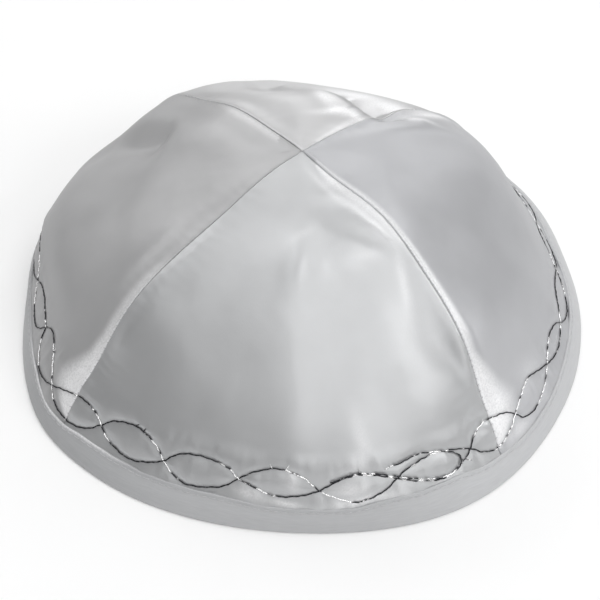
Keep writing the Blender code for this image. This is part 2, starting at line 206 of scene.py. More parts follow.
# Where the sewing began it runs over itself for a stretch, with loose ends: azimuth, mm
OVERLAP = (
    (-72.4, 17.4), (-70.0, 17.8), (-68.0, 18.5), (-66.5, 18.8), (-64.7, 18.4), (-63.2, 17.9), (-61.3, 17.0),
    (-60.0, 16.0), (-58.8, 15.0), (-58.0, 13.8), (-57.9, 12.6), (-58.2, 11.4), (-58.9, 10.5), (-60.5, 10.0),
    (-62.3, 9.95), (-64.5, 10.6), (-66.5, 11.6), (-68.5, 12.6), (-70.2, 13.6), (-71.3, 14.2), (-72.7, 14.9),
    (-74.5, 15.9), (-76.5, 16.5), (-78.5, 16.9), (-80.5, 16.4), (-82.5, 15.5), (-83.8, 14.8),
)
Stray = namedtuple("Stray", "az mm to_az to_mm lift_mm")
STRAYS = (
    Stray(-124.2, 17.8, -123.2, 19.0, 0.7),
    Stray(-122.0, 17.6, -121.6, 18.8, 0.6),
    Stray(-92.2, 18.2, -91.5, 20.0, 0.8),
    Stray(-94.8, 18.2, -95.2, 19.4, 0.5),
    Stray(-72.4, 17.4, -73.4, 17.0, 0.5),
    Stray(-78.3, 16.8, -78.2, 18.0, 0.7),
    Stray(-57.0, 11.6, -55.9, 10.8, 0.5),
    Stray(-57.6, 12.1, -56.7, 11.6, 0.4),
    Stray(-51.2, 18.2, -50.6, 19.6, 0.6),
    Stray(-151.6, 16.0, -151.0, 18.0, 0.6),
)
# Painted glints on the thread: its colour turns white where the thread runs square to this direction, and the
# glints are dimmed in one stretch at the front
GLINT_WAY = (0.27, -0.42, 0.87)
GLINT_SPREAD = 0.26
GLINT_DIMMED = (math.radians(-70), math.radians(10), 0.55)
SEAM_STITCH = 0.0023
SEAM_PIT = 0.00014
EDGE_STITCH = 0.0021
EDGE_STITCH_AWAY = 0.0010
EDGE_STITCH_WIDTH = 0.00028
EDGE_STITCH_DEPTH = 0.00016
THREAD_RADIUS = 0.00021
THREAD_PLY_RADIUS = 0.00013
THREAD_TWIST_PITCH = 0.0017
THREAD_STEP = 0.00022
STITCH_LENGTH = 0.0023
TAPE_STITCH = 0.0026
TAPE_STITCH_BELOW = 0.0010
SEWING_RADIUS = 0.00011
STITCH_DIP = 0.00014
THREAD_PRESS = 0.00016
THREAD_PRESS_WIDTH = 0.0008
PUFF = 0.00035
PUFF_WIDTH = 0.0024
BAND_RIPPLE = 0.00022

# The upper edge of the tape: azimuth and mm above the rim
TAPE_EDGE = (
    (-175, 7.0), (-155, 6.8), (-140, 6.3), (-132, 7.1), (-121, 7.0), (-112, 7.6), (-103, 7.9), (-92, 7.1),
    (-82, 7.1), (-71, 8.6), (-61, 8.9), (-51, 7.2), (-41, 5.9), (-30, 6.0), (-20, 7.2), (0, 7.4), (40, 7.1),
    (80, 7.5), (120, 7.2), (160, 7.3),
)

# Painted light and shade on the tape going round: darker on the left, lighter on the right. Then a painted
# highlight along its upper edge on the left, broken into a light grain. Azimuths come first, then the share at
# each.
TAPE_PAINTED_LIGHT = ((-180, -165, -150, -130, -110, -75, -55, 0, 90, 180), (0.78, 0.9, 0.8, 0.86, 0.98, 1, 1.12, 1.12, 1, 0.78))
TAPE_EDGE_HIGHLIGHT = ((-165, -155, -145, -130, -122), (0.0, 0.8, 1.0, 1.0, 0.0))
EDGE_HIGHLIGHT_WIDTH = 0.0006

# Beside some seams the satin is crushed over the turned edges and shows a light grain, and a painted highlight
# lightens the same strips. Seams are numbered from the front left one, side 1 lies anticlockwise of it, and the
# mm are above the rim.
Strip = namedtuple("Strip", "seam side mm width_mm share")
CRUSH_AND_HIGHLIGHT_STRIPS = (
    Strip(0, -1, 7, 0.6, 0.5),
    Strip(0, -1, 10, 3.5, 0.9),
    Strip(0, -1, 13, 8.5, 1.0),
    Strip(0, -1, 17, 9.5, 1.0),
    Strip(0, -1, 22, 7.0, 1.0),
    Strip(0, -1, 28, 4.5, 0.9),
    Strip(0, -1, 36, 3.2, 0.7),
    Strip(0, -1, 50, 3.2, 0.5),
    Strip(0, -1, 60, 3.0, 0.35),
    Strip(0, -1, 74, 2.0, 0.0),
    Strip(1, 1, 8, 0.8, 0.6),
    Strip(1, 1, 10, 3.5, 0.9),
    Strip(1, 1, 14, 10.0, 1.0),
    Strip(1, 1, 20, 10.5, 0.9),
    Strip(1, 1, 27, 7.0, 0.9),
    Strip(1, 1, 34, 4.5, 0.9),
    Strip(1, 1, 42, 2.2, 0.7),
    Strip(1, 1, 75, 1.9, 0.7),
    Strip(1, 1, 86, 1.6, 0.6),
    Strip(1, 1, 110, 1.5, 0.5),
    Strip(1, 1, 136, 1.0, 0.3),
    Strip(1, -1, 82, 0.8, 0.0),
    Strip(1, -1, 87, 1.2, 0.3),
    Strip(1, -1, 96, 2.4, 0.4),
    Strip(1, -1, 110, 3.4, 0.5),
    Strip(1, -1, 122, 3.0, 0.6),
    Strip(1, -1, 134, 1.0, 0.5),
    Strip(2, 1, 102, 0.8, 0.0),
    Strip(2, 1, 112, 3.0, 0.45),
    Strip(2, 1, 125, 2.2, 0.45),
    Strip(2, 1, 138, 1.2, 0.25),
    Strip(3, 1, 84, 1.2, 0.0),
    Strip(3, 1, 98, 3.0, 0.35),
    Strip(3, 1, 130, 2.4, 0.3),
)

# Other places where the satin is crushed, and where it turns to the light, lightened by a painted highlight
Patch = namedtuple("Patch", "name az mm turn half_long_mm half_wide_mm share")
CRUSH_AND_HIGHLIGHT_PATCHES = (
    Patch("front_low_left", -99, 10, 80, 4, 1.5, 0.7),
    Patch("front_low_middle", -92, 8.3, 85, 4, 1.0, 0.9),
    Patch("front_low_right", -78, 8.6, 95, 9, 1.4, 0.8),
    Patch("front_eye_far", -121, 13.5, 30, 3, 1.8, 0.1),
    Patch("front_eye_far_left", -113, 12.3, 20, 3, 1.6, 0.15),
    Patch("front_eye_far_right", -105.5, 13.5, 40, 3, 1.8, 0.1),
    Patch("front_eye_left", -91, 15.2, 20, 3, 1.6, 0.6),
    Patch("front_eye_right", -80, 12.3, 95, 4, 1.8, 0.7),
    Patch("front_eye_last", -71, 11.5, 100, 4, 1.8, 0.12),
    Patch("front_lip_top", -65, 121, 8, 9, 1.3, 0.35),
    Patch("front_lip_low", -56, 99, 9, 10, 1.3, 0.4),
    Patch("front_streak", -56, 73, -12, 11, 1.3, 0.25),
    Patch("front_glint", -90, 97, -40, 5, 1.8, 0.2),
    Patch("front_glint_right", -64, 85.5, 85, 4, 1.8, 0.12),
    Patch("front_pucker", -77, 27, 10, 9, 2.2, 0.22),
    Patch("front_pucker_low", -79, 19, -20, 5, 3.0, 0.25),
    Patch("right_low", -33, 19, 60, 6, 4.0, 0.2),
    Patch("right_low_rim", -42, 8.5, 85, 6, 2.0, 0.4),
    Patch("back_beak_upper", 77, 103, 29, 9, 2.2, 0.8),
    Patch("back_beak", 58, 113, 95, 7, 2.2, 0.9),
    Patch("back_far_left", 72, 66, 60, 12, 8.0, 1.0),
    Patch("back_far_right", 50, 80, 62, 12, 7.0, 1.0),
    Patch("right_far", 36, 79, 0, 12, 4.0, 0.9),
    Patch("right_lap", 27.8, 89.5, -28, 6, 1.6, 0.6),
)


def rim_radius(azimuth):
    """The outside of the binding at the bottom: a circle with soft corners at the seams."""
    corners = RIM_SQUARENESS * np.cos(4 * (azimuth - FIRST_SEAM))
    lengthening = RIM_LENGTHENING * np.cos(2 * (azimuth - RIM_LONG_WAY))
    return RIM_RADIUS * (1 + corners + lengthening)


def spline_through(rows, knots, at):
    """A natural cubic spline down each column of rows, read at the angles given."""
    count = len(knots)
    step = knots[1] - knots[0]
    system = np.eye(count)
    for i in range(1, count - 1):
        system[i, i - 1 : i + 2] = (1, 4, 1)
    bend = np.zeros_like(rows)
    bend[1:-1] = 6 * (rows[2:] - 2 * rows[1:-1] + rows[:-2]) / step**2
    curve = np.linalg.solve(system, bend)
    i = np.clip(((at - knots[0]) / step).astype(int), 0, count - 2)
    t = (at - knots[i]) / step
    column = np.arange(rows.shape[1])
    low, high = rows[i, column], rows[i + 1, column]
    low_bend, high_bend = curve[i, column], curve[i + 1, column]
    sag = (t**3 - t) * high_bend + ((1 - t) ** 3 - (1 - t)) * low_bend
    return (1 - t) * low + t * high + sag * step**2 / 6


def round_the_cap(azimuth):
    """The table's reaches at each azimuth, from waves that pass through all eight sections."""
    table = np.array([row[2:] for row in SECTIONS]) / 1000
    waves = np.fft.rfft(table, axis=0) / len(SECTIONS)
    turn = azimuth - FIRST_SEAM
    rows = np.zeros((table.shape[1], len(turn)))
    for k, wave in enumerate(waves):
        share = 1 if k in (0, len(SECTIONS) // 2) else 2
        rows += share * (np.outer(wave.real, np.cos(k * turn)) - np.outer(wave.imag, np.sin(k * turn)))
    return rows


def direction(azimuth, down):
    """The unit vector from the origin towards a place."""
    flat = np.sin(down)
    return np.stack([flat * np.cos(azimuth), flat * np.sin(azimuth), np.cos(down)], axis=-1)


def eased(t):
    """0 below 0, 1 above 1, and smooth between."""
    t = np.clip(t, 0, 1)
    return t * t * (3 - 2 * t)


def bend_height(azimuth, down):
    """What the swells and hollows of the wall add to the reach."""
    total = np.zeros_like(down)
    for bend in BENDS:
        turn = np.mod(azimuth - math.radians(bend.az) + math.pi, 2 * math.pi) - math.pi
        around = turn / math.radians(bend.half_az)
        along = (down - math.radians(bend.down)) / math.radians(bend.half_down)
        total += bend.height_mm / 1000 * np.exp(-(around**2) - along**2)
    return total


def fold_height(azimuth, down, reach, folds=FOLDS):
    """What the folds add to the reach."""
    towards = direction(azimuth, down)
    total = np.zeros_like(reach)
    for fold in folds:
        start = direction(math.radians(fold.az0), math.radians(fold.down0))
        end = direction(math.radians(fold.az1), math.radians(fold.down1))
        side = np.cross(start, end)
        side /= np.linalg.norm(side)
        onward = np.cross(side, start)
        length = math.acos(np.clip(start @ end, -1, 1))
        across = np.arcsin(np.clip(towards @ side, -1, 1)) * reach
        along = np.arctan2(towards @ onward, towards @ start)
        half_width = fold.half_width_mm / 1000
        fade = half_width / reach
        ends = eased((along + fade) / fade) * eased((length + fade - along) / fade)
        total += fold.height_mm / 1000 * ends * np.exp(-((across / half_width) ** 2))
    return total


def from_seam(azimuth, down, reach):
    """How far a place lies from the nearest seam, along the cloth."""
    turn = np.mod(azimuth - FIRST_SEAM + math.pi / 4, math.pi / 2) - math.pi / 4
    return np.abs(turn) * reach * np.sin(down)


def gore_number(azimuth):
    """Which gore a place lies on: 0 front, 1 right, 2 back, 3 left."""
    return np.floor(np.mod(azimuth - FIRST_SEAM, 2 * math.pi) / (math.pi / 2))


def dent_height(azimuth, down, reach):
    """What the dents and swells add to the reach. Each keeps to its own gore."""
    total = np.zeros_like(reach)
    gore = gore_number(azimuth)
    for dent in DENTS:
        centre_azimuth, centre_down = math.radians(dent.az), math.radians(dent.down)
        around = np.mod(azimuth - centre_azimuth + math.pi, 2 * math.pi) - math.pi
        east = around * reach * np.sin((down + centre_down) / 2)
        south = (down - centre_down) * reach
        cosine, sine = math.cos(math.radians(dent.turn)), math.sin(math.radians(dent.turn))
        along = (east * sine + south * cosine) / (dent.half_long_mm / 1000)
        across = (east * cosine - south * sine) / (dent.half_wide_mm / 1000)
        height = dent.height_mm / 1000 * np.exp(-(along**2) - across**2)
        total += np.where(gore == gore_number(centre_azimuth), height, 0)
    return total * (1 - np.exp(-((from_seam(azimuth, down, reach) / DENT_FADE) ** 2)))


def seam_ridge(azimuth, down, reach):
    """The low ridge of the seam allowances under the cloth, along each seam."""
    return SEAM_RIDGE * np.exp(-((from_seam(azimuth, down, reach) / SEAM_RIDGE_WIDTH) ** 2))


def cloth_reach(azimuth, down):
    """How far the outside of the cloth stands from the origin."""
    azimuth, down = np.broadcast_arrays(azimuth, down)
    flat_azimuth, flat_down = azimuth.ravel(), down.ravel()
    table = round_the_cap(flat_azimuth)
    crown = np.full((1, len(flat_azimuth)), CROWN_HEIGHT)
    rim = rim_radius(flat_azimuth)[None, :] - TAPE - CLEARANCE
    rows = np.concatenate([crown, table, rim])
    reach = spline_through(rows, TABLE_DOWN, flat_down).reshape(azimuth.shape)
    reach = reach + bend_height(azimuth, down)
    relief = seam_ridge(azimuth, down, reach) + fold_height(azimuth, down, reach)
    relief = relief + dent_height(azimuth, down, reach)
    return reach + relief * eased((BOUND_DOWN - down) / SMOOTH_ABOVE_BINDING)


def slant(azimuth, down):
    """How much longer a step towards the origin is than the same step square to the cloth."""
    reach = cloth_reach(azimuth, down)
    lower = np.minimum(down + SLOPE_STEP, math.pi / 2)
    upper = np.maximum(down - SLOPE_STEP, 0)
    fall = (cloth_reach(azimuth, lower) - cloth_reach(azimuth, upper)) / (lower - upper)
    sideways = cloth_reach(azimuth + SLOPE_STEP, down) - cloth_reach(azimuth - SLOPE_STEP, down)
    sideways /= 2 * SLOPE_STEP * np.maximum(np.sin(down), SLOPE_STEP)
    return np.sqrt(1 + (fall / reach) ** 2 + (sideways / reach) ** 2)


def layer(azimuth, down, outward):
    """Points that lie outward of the outside of the cloth, measured square to it."""
    reach = cloth_reach(azimuth, down) + outward * slant(azimuth, down)
    points = reach[..., None] * direction(azimuth, down)
    points[..., 0] += CROWN_SHIFT * np.cos(down)
    return points


def all_eyes():
    """Every eye between two crossings, those behind set out evenly."""
    eyes = list(EYES)
    first = REST_OF_RIM_START
    step = (EYES[0].az + 360 - first) / (EYE_COUNT - len(EYES))
    for k in range(EYE_COUNT - len(EYES)):
        az = first + k * step
        shoulder, crest = REST_SHOULDER, REST_CREST + 0.3 * math.sin(2.1 * k)
        up = (az + 0.22 * step, REST_MIDDLE + shoulder, az + 0.5 * step, REST_MIDDLE + crest)
        up += (az + 0.78 * step, REST_MIDDLE + shoulder)
        low = (az + 0.22 * step, REST_MIDDLE - shoulder, az + 0.5 * step, REST_MIDDLE - crest)
        low += (az + 0.78 * step, REST_MIDDLE - shoulder)
        eyes.append(Eye(az, REST_MIDDLE, *up, *low))
    return eyes


def wave_places(number):
    """The places of one thread all the way round: through upper and lower halves in turn."""
    places = []
    for k, eye in enumerate(all_eyes()):
        places.append((eye.az, eye.mm))
        half = eye[2:8] if (k + number) % 2 == 0 else eye[8:14]
        places += [half[0:2], half[2:4], half[4:6]]
    return np.array(places)


def smooth_run(places, closed):
    """A smooth line through places, as azimuths in radians and heights in m, in even steps."""
    flat = np.stack([np.radians(places[:, 0]) * RIM_RADIUS, places[:, 1] / 1000], axis=1)
    around = np.array([2 * math.pi * RIM_RADIUS, 0])
    if closed:
        flat = np.concatenate([flat[-1:] - around, flat, flat[:2] + around])
    else:
        flat = np.concatenate([2 * flat[:1] - flat[1:2], flat, 2 * flat[-1:] - flat[-2:-1]])
    pieces = []
    for a, b, c, d in zip(flat[:-3], flat[1:-2], flat[2:-1], flat[3:]):
        t = np.linspace(0, 1, 24, endpoint=False)[:, None]
        bend = (2 * a - 5 * b + 4 * c - d) * t**2 + (3 * b - a - 3 * c + d) * t**3
        pieces.append(b + 0.5 * ((c - a) * t + bend))
    line = np.concatenate(pieces + [flat[-2:-1]])
    run = np.concatenate([[0], np.cumsum(np.linalg.norm(np.diff(line, axis=0), axis=1))])
    count = int(run[-1] / THREAD_STEP)
    at = np.linspace(0, run[-1], count, endpoint=not closed)
    return np.interp(at, run, line[:, 0]) / RIM_RADIUS, np.interp(at, run, line[:, 1])


def thread_tree(lines):
    """A search tree of every thread's places, laid flat."""
    count = sum(len(azimuth) for azimuth, _ in lines)
    tree = kdtree.KDTree(3 * count)
    for azimuth, height in lines:
        for a, h in zip(np.mod(azimuth, 2 * math.pi), height):
            for shift in (-2 * math.pi, 0, 2 * math.pi):
                tree.insert((float(a + shift) * RIM_RADIUS, float(h), 0), 0)
    tree.balance()
    return tree


LINES = [smooth_run(wave_places(0), True), smooth_run(wave_places(1), True)]
LINES.append(smooth_run(np.array(OVERLAP), False))
TREE = thread_tree(LINES)
BAND_TOP = 0.024


def height_of(azimuth, down):
    """How high a place lies above the rim, along the cloth."""
    return (math.pi / 2 - down) * rim_radius(azimuth)


def down_of(azimuth, height):
    """The angle down of a place that lies at a height above the rim."""
    return math.pi / 2 - height / rim_radius(azimuth)


def smooth_noise(points, size, offset=0.0):
    """Smooth noise from -1 to 1 at points, uneven over lengths of about the size."""
    scaled = points / size + offset
    return np.array([noise.noise(Vector(p)) for p in scaled.tolist()])


def band_relief(azimuth, down):
    """How the embroidery shapes the cloth: pressed in under the threads, puffed up between."""
    height = height_of(azimuth, down)
    total = np.zeros(height.shape)
    near = (height < BAND_TOP).ravel()
    if not near.any():
        return total
    flat_azimuth, flat_height = np.mod(azimuth, 2 * math.pi).ravel()[near], height.ravel()[near]
    places = np.stack([flat_azimuth * RIM_RADIUS, flat_height, np.zeros_like(flat_height)], axis=1)
    away = np.array([TREE.find(p)[2] for p in places.tolist()])
    press = THREAD_PRESS * np.exp(-((away / THREAD_PRESS_WIDTH) ** 2))
    inside = eased((BAND_TOP - flat_height) / 0.006) * eased((flat_height - 0.004) / 0.003)
    puff = PUFF * (1 - np.exp(-((away / PUFF_WIDTH) ** 2))) * inside
    stretched = np.stack([np.cos(flat_azimuth), np.sin(flat_azimuth), 0.25 * flat_height / RIM_RADIUS], axis=1)
    crease = smooth_noise(stretched * RIM_RADIUS, 0.0034) + 0.6 * smooth_noise(stretched * RIM_RADIUS, 0.0016, 7)
    crease = crease + 1.2 * smooth_noise(stretched * RIM_RADIUS, 0.0080, 3)
    creases = BAND_RIPPLE * crease * (1 - 0.7 * np.exp(-((away / THREAD_PRESS_WIDTH) ** 2))) * inside
    found = np.zeros(near.shape)
    found[near] = puff - press + creases
    return found.reshape(height.shape)


def seam_relief(azimuth, down, reach, along):
    """The turned edges of the gores: rolled in at the seam, with small puckers beside it."""
    away = from_seam(azimuth, down, reach)
    half_arc = math.pi / 4 * reach * np.sin(down)
    roll = np.minimum(EDGE_ROLL, 0.5 * half_arc)
    over = np.clip(1 - away / roll, 0, 1)
    relief = -EDGE_ROLL_DROP * (1 - np.sqrt(np.maximum(1 - over**2, 0))) * np.minimum(1, half_arc / 0.002)
    loose = eased((math.pi / 2 - down) / math.radians(6))
    run = down * reach / SEAM_PUCKER_PITCH * 2 * math.pi
    wander = smooth_noise(along, 0.006).reshape(reach.shape)
    pucker = np.sin(run + 3.0 * wander) * np.exp(-away / SEAM_PUCKER_REACH) * eased(away / 0.0012)
    pits = (0.5 + 0.5 * np.cos(2 * math.pi * down * reach / SEAM_STITCH)) ** 3 * np.exp(-((away / 0.0006) ** 2))
    return relief + (SEAM_PUCKER * pucker - SEAM_PIT * pits) * loose


def edge_stitch_relief(azimuth, down, reach):
    """The groove of the line of stitches beside one seam, on the right gore."""
    turn = np.mod(azimuth - FIRST_SEAM, 2 * math.pi) - math.pi / 2
    away = turn * reach * np.sin(down)
    stitch = 0.6 + 0.4 * np.cos(2 * math.pi * down * reach / EDGE_STITCH)
    groove = np.exp(-(((away - EDGE_STITCH_AWAY) / EDGE_STITCH_WIDTH) ** 2))
    return -EDGE_STITCH_DEPTH * groove * stitch * eased((away + 0.002) / 0.002)


def fine_relief(azimuth, down):
    """All the relief that only the looks have, square to the cloth."""
    reach = cloth_reach(azimuth, down)
    along = (reach[..., None] * direction(azimuth, down)).reshape(-1, 3)
    uneven = sum(height * smooth_noise(along, size) for size, height in RIPPLES).reshape(reach.shape)
    loose = eased((math.pi / 2 - down) / math.radians(6)) * eased(from_seam(azimuth, down, reach) / 0.004)
    total = uneven * loose + seam_relief(azimuth, down, reach, along)
    return total + band_relief(azimuth, down) + edge_stitch_relief(azimuth, down, reach)


def crush_and_highlight_share(azimuth, down):
    """How far the satin is crushed and lightened by a painted highlight, from 0 to about 1."""
    reach = cloth_reach(azimuth, down)
    mm = height_of(azimuth, down) * 1000
    total = np.zeros(mm.shape)
    for seam, side in sorted({(strip.seam, strip.side) for strip in CRUSH_AND_HIGHLIGHT_STRIPS}):
        rows = np.array([strip[2:] for strip in CRUSH_AND_HIGHLIGHT_STRIPS if (strip.seam, strip.side) == (seam, side)])
        turn = np.mod(azimuth - FIRST_SEAM - seam * math.pi / 2 + math.pi, 2 * math.pi) - math.pi
        away = side * turn * reach * np.sin(down) * 1000
        width = np.interp(mm, rows[:, 0], rows[:, 1])
        share = np.interp(mm, rows[:, 0], rows[:, 2], left=0, right=0)
        total += share * (away > 0) * (1 - eased(away / width - 0.4))
    gore = gore_number(azimuth)
    for patch in CRUSH_AND_HIGHLIGHT_PATCHES:
        centre = math.radians(patch.az)
        around = np.mod(azimuth - centre + math.pi, 2 * math.pi) - math.pi
        east = around * reach * np.sin(down) * 1000
        south = patch.mm - mm
        cosine, sine = math.cos(math.radians(patch.turn)), math.sin(math.radians(patch.turn))
        along = (east * sine + south * cosine) / patch.half_long_mm
        across = (east * cosine - south * sine) / patch.half_wide_mm
        share = patch.share * np.exp(-(along**2) - across**2)
        total += np.where(gore == gore_number(centre), share, 0)
    return total


def add_share(piece, name, shares):
    """Stores a share at each vertex, for the material to read."""
    piece.data.attributes.new(name, "FLOAT", "POINT").data.foreach_set("value", shares.ravel().astype(np.float32))


def add_object(name, points, faces, material, uvs=None):
    mesh = bpy.data.meshes.new(name)
    mesh.from_pydata(points.tolist(), [], faces)
    mesh.validate()
    mesh.update()
    if uvs is not None:
        corner_vertex = np.zeros(len(mesh.loops), dtype=np.int32)
        mesh.loops.foreach_get("vertex_index", corner_vertex)
        mesh.uv_layers.new(name="UVMap").data.foreach_set("uv", uvs[corner_vertex].ravel())
    mesh.materials.append(material)
    mesh.shade_smooth()
    piece = bpy.data.objects.new(name, mesh)
    bpy.context.scene.collection.objects.link(piece)
    return piece


def closed_sheet(rows, columns):
    """Faces of a sheet with two sides: a grid of outside points, then the same grid inside."""
    count = rows * columns
    j, i = np.meshgrid(np.arange(rows - 1), np.arange(columns - 1), indexing="ij")
    a = (j * columns + i).ravel()
    outside = np.stack([a, a + columns, a + columns + 1, a + 1], axis=1)
    inside = np.stack([a, a + 1, a + columns + 1, a + columns], axis=1) + count
    border = [j * columns for j in range(rows)]
    border += [(rows - 1) * columns + i for i in range(1, columns)]
    border += [j * columns + columns - 1 for j in range(rows - 2, -1, -1)]
    border += list(range(columns - 2, 0, -1))
    start = np.array(border)
    end = np.roll(start, -1)
    edge = np.stack([end, start, start + count, end + count], axis=1)
    return np.concatenate([outside, inside, edge]).tolist()


def column_places():
    """Where the grid's columns lie, from -1 to 1 across a gore: close together at the seams."""
    near = np.array([0, 0.10, 0.22, 0.36, 0.52, 0.70, 0.92, 1.2, 1.55, 1.95, 2.4, 2.95, 3.55, 4.2])
    half_width = 71.0
    rest = np.linspace(5.0, half_width, 84)
    from_seam = np.concatenate([near, rest]) / half_width
    left = -1 + from_seam
    return np.concatenate([left, -left[:-1][::-1]])


def row_places():
    """Angles down of the grid's rows, closer together where the embroidery runs."""
    upper = np.linspace(TIP_RADIUS / CROWN_HEIGHT, math.radians(70), 104)
    end = math.pi / 2 - (TAPE + CLEARANCE) / RIM_RADIUS
    lower = np.linspace(math.radians(70), end, 66)
    return np.concatenate([upper, lower[1:]])


def add_gore(gore, material):
    down = row_places()[:, None]
    across = column_places()[None, :]
    middle = FIRST_SEAM + math.radians(45 + 90 * gore.number)
    radius = cloth_reach(np.full_like(down, middle), down) * np.sin(down)
    half_arc = radius * math.pi / 4
    azimuth = middle + across * (math.pi / 4 - SEAM_HALF_GAP / radius)
    down = np.broadcast_to(down, azimuth.shape)
    away = (1 - np.abs(across)) * half_arc
    reach = cloth_reach(azimuth, down)
    steep = slant(azimuth, down)
    relief = fine_relief(azimuth, down)
    outside = (reach + relief * steep)[..., None] * direction(azimuth, down)
    loose = eased((math.pi / 2 - down) / math.radians(6))
    thick = CLOTH + ALLOWANCE_CLOTH * eased((ALLOWANCE_WIDTH - away) / 0.0004) * loose
    thick = thick * np.minimum(1, 0.45 + half_arc / 0.004)
    inside = (reach - thick * steep)[..., None] * direction(azimuth, down)
    points = np.concatenate([outside.reshape(-1, 3), inside.reshape(-1, 3)])
    points[:, 0] += CROWN_SHIFT * np.tile(np.cos(down).ravel(), 2)
    u = (across * half_arc).ravel() + 0.5 * gore.flat_width
    v = (down * reach).ravel()
    uvs = np.tile(np.stack([u, v], axis=1) / 0.2, (2, 1))
    piece = add_object(gore.name, points, closed_sheet(*azimuth.shape), material, uvs)
    # Crushed satin and painted highlights, for the material to read
    add_share(piece, "crush_and_highlight", np.tile(crush_and_highlight_share(azimuth, down).ravel(), 2))
    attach(piece, "root")
    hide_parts(gore.node)
    return piece


def tape_edge(azimuth):
    """How high the tape's upper edge stands above the rim, going round."""
    table = np.array(TAPE_EDGE) / (1, 1000)
    wrapped = np.concatenate([table[-2:] - (360, 0), table, table[:2] + (360, 0)])
    t = np.interp(np.mod(np.degrees(azimuth) + 180, 360) - 180, wrapped[:, 0], np.arange(len(wrapped)))
    k = np.clip(t.astype(int), 1, len(wrapped) - 3)
    f = eased(t - k)
    wobble = 0.00008 * np.sin(23 * azimuth) + 0.00006 * np.sin(61 * azimuth + 1)
    return wrapped[k, 1] * (1 - f) + wrapped[k + 1, 1] * f + wobble


def tape_section():
    """Share of the way up to the edge, height above or below that, and how far out, for one turn."""
    full, edge = CLEARANCE + TAPE, CLEARANCE + 0.00034
    inner = -CLOTH - CLEARANCE
    rounding = 0.0010
    rows = [(1, -0.0002, 0.00005), (1, -0.00004, 0.00018), (1, 0, edge - 0.00014)]
    rows += [(1, -0.00006, edge - 0.00003), (1, -0.0002, edge + 0.00002), (1, -0.00042, edge - 0.00002)]
    for k in range(1, 11):
        t = k / 10
        rows.append((1 - 0.55 * t, -0.00042 * (1 - t), edge + (full - edge) * eased(t) - 0.00002))
    for t in np.linspace(0.45, 0, 8)[1:-1]:
        rows.append((t, rounding * (1 - t / 0.45), full))
    for k in range(7):
        turn = math.pi / 2 * k / 6
        rows.append((0, rounding * (1 - math.sin(turn)), full - rounding * (1 - math.cos(turn))))
    back = inner - TAPE
    for k in range(7):
        turn = math.pi / 2 * (1 - k / 6)
        rows.append((0, rounding * (1 - math.sin(turn)), back + rounding * (1 - math.cos(turn))))
    for t in np.linspace(0, 0.93, 9)[1:]:
        rows.append((t, rounding * (1 - t), back))
    rows += [(0.95, 0, back + 0.0001), (0.96, 0, inner - 0.0002), (0.95, 0, inner)]
    for t in np.linspace(0.9, 0.16, 5):
        rows.append((t, 0, inner))
    for t in np.linspace(0.16, 0.9, 5):
        rows.append((t, 0, 0.00005))
    return np.array(rows).T


def add_binding(material):
    """The tape folded round the gores' lower edges: a ring whose section is a narrow U."""
    steps = 1080
    azimuth = FIRST_SEAM + np.linspace(0, 2 * math.pi, steps, endpoint=False)
    share, lift, outs = tape_section()
    edge = tape_edge(azimuth)
    heights = share[None, :] * edge[:, None] + lift[None, :]
    grid_azimuth = np.broadcast_to(azimuth[:, None], heights.shape)
    down = math.pi / 2 - heights / rim_radius(azimuth)[:, None]
    run = azimuth * RIM_RADIUS
    pull = 0.5 + 0.5 * np.cos(2 * math.pi * run / TAPE_STITCH)
    from_stitches = (heights - (edge[:, None] - TAPE_STITCH_BELOW)) / 0.0005
    outer = (outs > 0.0002)[None, :] * (share > 0)[None, :]
    dimple = 0.00008 * (0.45 + 0.55 * pull[:, None] ** 2) * np.exp(-(from_stitches**2))
    circle = np.stack([np.cos(azimuth), np.sin(azimuth), np.zeros(steps)], axis=1) * RIM_RADIUS
    swell = 0.00010 * smooth_noise(circle, 0.007) + 0.00005 * smooth_noise(circle, 0.0025)
    middle = np.exp(-(((share - 0.45) / 0.3) ** 2))[None, :]
    out = outs[None, :] + (swell[:, None] * middle - dimple) * outer
    points = layer(grid_azimuth, down, out)
    points[..., 2] = np.where(heights < 1e-9, 0.0, points[..., 2])
    corners = len(share)
    i, j = np.meshgrid(np.arange(steps), np.arange(corners), indexing="ij")
    next_i, next_j = (i + 1) % steps, (j + 1) % corners
    faces = np.stack([i * corners + j, i * corners + next_j, next_i * corners + next_j, next_i * corners + j], -1)
    typical = share * BINDING_WIDTH + lift
    around = np.concatenate([[0], np.cumsum(np.hypot(np.diff(typical), np.diff(outs)))])
    u = np.broadcast_to((azimuth - azimuth[0])[:, None] * RIM_RADIUS, heights.shape)
    v = np.broadcast_to(around[None, :], heights.shape)
    uvs = np.stack([u.ravel(), v.ravel()], axis=1) / 0.2
    piece = add_object("rim_tape", points.reshape(-1, 3), faces.reshape(-1, 4).tolist(), material, uvs)
    turned = np.mod(np.degrees(azimuth) + 180, 360) - 180
    # Painted highlight along the tape's upper edge on the left, and painted light and shade going round
    edge_highlight = np.interp(turned, *TAPE_EDGE_HIGHLIGHT)[:, None] * np.exp(-(((edge[:, None] - heights) / EDGE_HIGHLIGHT_WIDTH) ** 2))
    add_share(piece, "edge_highlight", edge_highlight * outer)
    add_share(piece, "shade", np.broadcast_to(np.interp(turned, *TAPE_PAINTED_LIGHT)[:, None], heights.shape))
    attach(piece, "root")
    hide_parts("rim_binding")
    return piece


